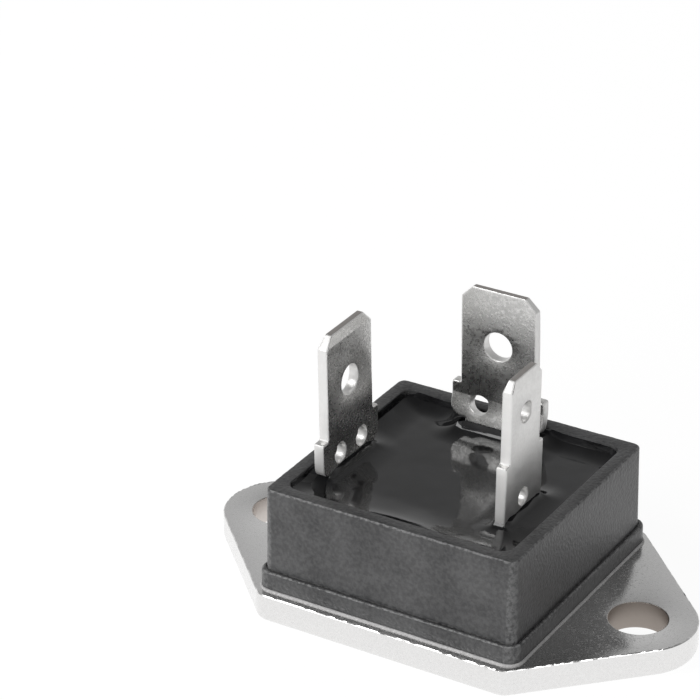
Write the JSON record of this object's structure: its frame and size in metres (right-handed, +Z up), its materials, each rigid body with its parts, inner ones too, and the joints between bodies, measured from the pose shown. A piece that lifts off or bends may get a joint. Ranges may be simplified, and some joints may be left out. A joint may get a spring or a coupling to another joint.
{
  "type": "power triac with flanged base plate and blade terminals",
  "caption": "Insulated power triac: square potted plastic housing on a flat metal base plate with rounded ends and fixing holes, and upright blade terminals.",
  "frame": {"origin": "centre of the base plate's underside, half-way between the two fixing holes", "axes": "+X along the plate through both fixing holes, towards the gate terminal; +Y towards the T2 terminal; +Z up, away from the heatsink"},
  "size_m": [0.0388, 0.022, 0.0212],
  "materials": {
    "nickel_plate": "satin nickel plating on copper",
    "housing_plastic": "fine matt moulded texture",
    "adhesive": "pale cured adhesive bead",
    "potting": "glossy self-levelled black epoxy",
    "gel": "soft clear silicone gel",
    "solder": "dull solder",
    "copper": "bare bonded copper",
    "ceramic": "unglazed alumina",
    "silicon": "metallised silicon",
    "tinned_blade": "matt tin plating with a fine grain, on copper alloy"
  },
  "bodies": {
    "root": {"base_plate": "nickel_plate", "housing": "housing_plastic", "housing_adhesive": "adhesive", "fill_cap": "potting", "gel_fill": "gel", "substrate_solder": "solder", "substrate_lower_copper": "copper", "substrate_ceramic": "ceramic", "t2_pad": "copper", "chip_solder": "solder", "triac_chip": "silicon", "t1_contact_solder": "solder", "gate_contact_solder": "solder", "t2_foot_solder": "solder", "t1_terminal": "tinned_blade", "t2_terminal": "tinned_blade", "gate_terminal": "tinned_blade"}
  },
  "joints": []
}
